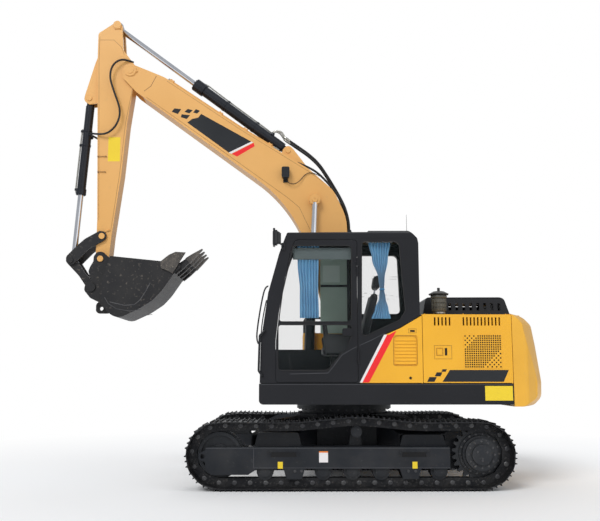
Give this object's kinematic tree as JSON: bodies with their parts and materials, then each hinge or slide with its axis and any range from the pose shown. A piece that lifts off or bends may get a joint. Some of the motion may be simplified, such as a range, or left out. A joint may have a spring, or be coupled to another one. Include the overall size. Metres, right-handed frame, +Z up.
{
  "type": "crawler excavator",
  "caption": "Mid-size crawler excavator with a slewing house, a boom, an arm and a toothed bucket, for digging and loading.",
  "frame": {"origin": "on the slewing axis at ground level, midway between the tracks", "axes": "+Z up; -X is the way the cab and the tracks' idlers face; the cab is on the -Y side, which is the machine's left"},
  "size_m": [5.9042, 2.5903, 5.918],
  "materials": {
    "frame_black": "satin",
    "track_steel": "worn",
    "cast_steel": "worn",
    "cab_black": "satin",
    "body_yellow": "gloss",
    "boom_tan": "gloss",
    "counterweight_iron": "painted",
    "cylinder_black": "gloss",
    "rod_chrome": "polished",
    "bucket_black": "worn",
    "wear_steel": "worn",
    "cab_glass": "clear",
    "seat_fabric": "woven",
    "curtain_blue": "woven",
    "cab_plastic": "moulded",
    "engine_alloy": "cast",
    "filter_plastic": "moulded",
    "tube_steel": "satin"
  },
  "bodies": {
    "chassis": {"car_body": "frame_black", "swing_ring_lower": "cast_steel", "track_frames": "frame_black", "track_shoes": "track_steel", "track_chains": "track_steel", "track_rollers": "cast_steel", "idlers": "cast_steel", "sprockets": "cast_steel", "final_drives": "cast_steel"},
    "house": {"swing_ring_upper": "cast_steel", "side_decks": "cab_black", "revolving_frame": "cab_black", "swing_motor": "cast_steel", "valve_cover": "cab_black", "engine_bay_frame": "cab_black", "top_deck": "body_yellow", "engine_block": "engine_alloy", "counterweight": "counterweight_iron", "tanks": "body_yellow", "tool_box": "body_yellow", "pre_cleaner": "filter_plastic", "exhaust_pipe": "tube_steel", "rails_and_mirror": "tube_steel", "cab_left_side": "cab_black", "cab_right_side": "cab_black", "cab_front": "cab_black", "cab_rear": "cab_black", "cab_roof": "cab_black", "cab_floor": "cab_plastic", "cab_glass": "cab_glass", "seat_base": "cab_plastic", "seat_cushions": "seat_fabric", "consoles": "cab_plastic", "curtains": "curtain_blue"},
    "cab_door": {"cab_door": "cab_black", "cab_door_glass": "cab_glass"},
    "left_front_door": {"left_front_door": "body_yellow"},
    "left_rear_door": {"left_rear_door": "body_yellow"},
    "right_rear_door": {"right_rear_door": "body_yellow"},
    "engine_hood": {"engine_hood": "cab_black"},
    "tool_box_lid": {"tool_box_lid": "body_yellow"},
    "boom": {"boom": "boom_tan", "boom_pipes": "boom_tan", "boom_lamp": "tube_steel"},
    "boom_barrels": {"boom_cylinder_barrels": "cylinder_black"},
    "boom_rods": {"boom_cylinder_rods": "rod_chrome"},
    "arm_barrel": {"arm_cylinder_barrel": "cylinder_black"},
    "arm_rod": {"arm_cylinder_rod": "rod_chrome"},
    "arm": {"arm": "boom_tan"},
    "bucket_barrel": {"bucket_cylinder_barrel": "cylinder_black"},
    "bucket_rod": {"bucket_cylinder_rod": "rod_chrome"},
    "rocker": {"rocker": "bucket_black"},
    "link": {"link": "bucket_black"},
    "bucket": {"bucket": "bucket_black", "bucket_teeth": "wear_steel"}
  },
  "joints": [
    {"name": "slew", "type": "hinge", "parent": "chassis", "child": "house", "pos_m": [0, 0, 0.85], "axis": [0, 0, 1], "continuous": true},
    {"name": "boom_lift", "type": "hinge", "parent": "house", "child": "boom", "pos_m": [0, 0, 1.54], "axis": [0, 1, 0], "range_deg": [-98, 10]},
    {"name": "boom_barrel_turn", "type": "hinge", "parent": "house", "child": "boom_barrels", "pos_m": [-0.45, 0, 1.14], "axis": [0, 1, 0], "range_deg": [-101.4, 10.4]},
    {"name": "boom_rod_slide", "type": "slide", "parent": "boom_barrels", "child": "boom_rods", "axis": [0.0383, 0, 0.9993], "range_m": [-0.9035, 0.0925]},
    {"name": "arm_swing", "type": "hinge", "parent": "boom", "child": "arm", "pos_m": [-2.775, 0, 5.208], "axis": [0, -1, 0], "range_deg": [-113, 4]},
    {"name": "arm_barrel_turn", "type": "hinge", "parent": "boom", "child": "arm_barrel", "pos_m": [-0.705, 0, 4.15], "axis": [0, -1, 0], "range_deg": [-0.1, 1.8]},
    {"name": "arm_rod_slide", "type": "slide", "parent": "arm_barrel", "child": "arm_rod", "axis": [-0.7998, 0, 0.6003], "range_m": [-1.118, 0.04]},
    {"name": "bucket_curl", "type": "hinge", "parent": "arm", "child": "bucket", "pos_m": [-3.07, 0, 2.708], "axis": [0, -1, 0], "range_deg": [-125, 35]},
    {"name": "rocker_turn", "type": "hinge", "parent": "arm", "child": "rocker", "pos_m": [-3.07, 0, 3.004], "axis": [0, -1, 0], "range_deg": [-77.8, 21.8]},
    {"name": "link_turn", "type": "hinge", "parent": "rocker", "child": "link", "pos_m": [-3.456, 0, 2.697], "axis": [0, -1, 0], "range_deg": [-16.3, 57.9]},
    {"name": "bucket_barrel_turn", "type": "hinge", "parent": "arm", "child": "bucket_barrel", "pos_m": [-3.312, 0, 4.85], "axis": [0, -1, 0], "range_deg": [-5.1, 1.5]},
    {"name": "bucket_rod_slide", "type": "slide", "parent": "bucket_barrel", "child": "bucket_rod", "axis": [-0.0667, 0, -0.9978], "range_m": [-0.583, 0.1635]},
    {"name": "cab_door_hinge", "type": "hinge", "parent": "house", "child": "cab_door", "pos_m": [0.088, -1.256, 2], "axis": [0, 0, -1], "range_deg": [-165, 0]},
    {"name": "left_front_door_hinge", "type": "hinge", "parent": "house", "child": "left_front_door", "pos_m": [0.798, -1.237, 1.5], "axis": [0, 0, 1], "range_deg": [0, 80]},
    {"name": "left_rear_door_hinge", "type": "hinge", "parent": "house", "child": "left_rear_door", "pos_m": [1.798, -1.237, 1.5], "axis": [0, 0, 1], "range_deg": [0, 80]},
    {"name": "right_rear_door_hinge", "type": "hinge", "parent": "house", "child": "right_rear_door", "pos_m": [1.798, 1.237, 1.5], "axis": [0, 0, -1], "range_deg": [0, 80]},
    {"name": "engine_hood_hinge", "type": "hinge", "parent": "house", "child": "engine_hood", "pos_m": [1.977, 0, 1.937], "axis": [0, 1, 0], "range_deg": [0, 60]},
    {"name": "tool_box_lid_hinge", "type": "hinge", "parent": "house", "child": "tool_box_lid", "pos_m": [-0.513, 0.8, 1.529], "axis": [0, 1, 0], "range_deg": [0, 75]}
  ],
  "couplings": [
    {"joint": "boom_barrel_turn", "follows": "boom_lift", "ratio": 1.0337},
    {"joint": "boom_rod_slide", "follows": "boom_lift", "m_per_rad": 0.52778},
    {"joint": "arm_barrel_turn", "follows": "arm_swing", "ratio": -0.0157},
    {"joint": "arm_rod_slide", "follows": "arm_swing", "m_per_rad": 0.56634},
    {"joint": "rocker_turn", "follows": "bucket_curl", "ratio": 0.6222},
    {"joint": "link_turn", "follows": "bucket_curl", "ratio": -0.463},
    {"joint": "bucket_barrel_turn", "follows": "bucket_curl", "ratio": 0.0402},
    {"joint": "bucket_rod_slide", "follows": "bucket_curl", "m_per_rad": 0.267}
  ]
}
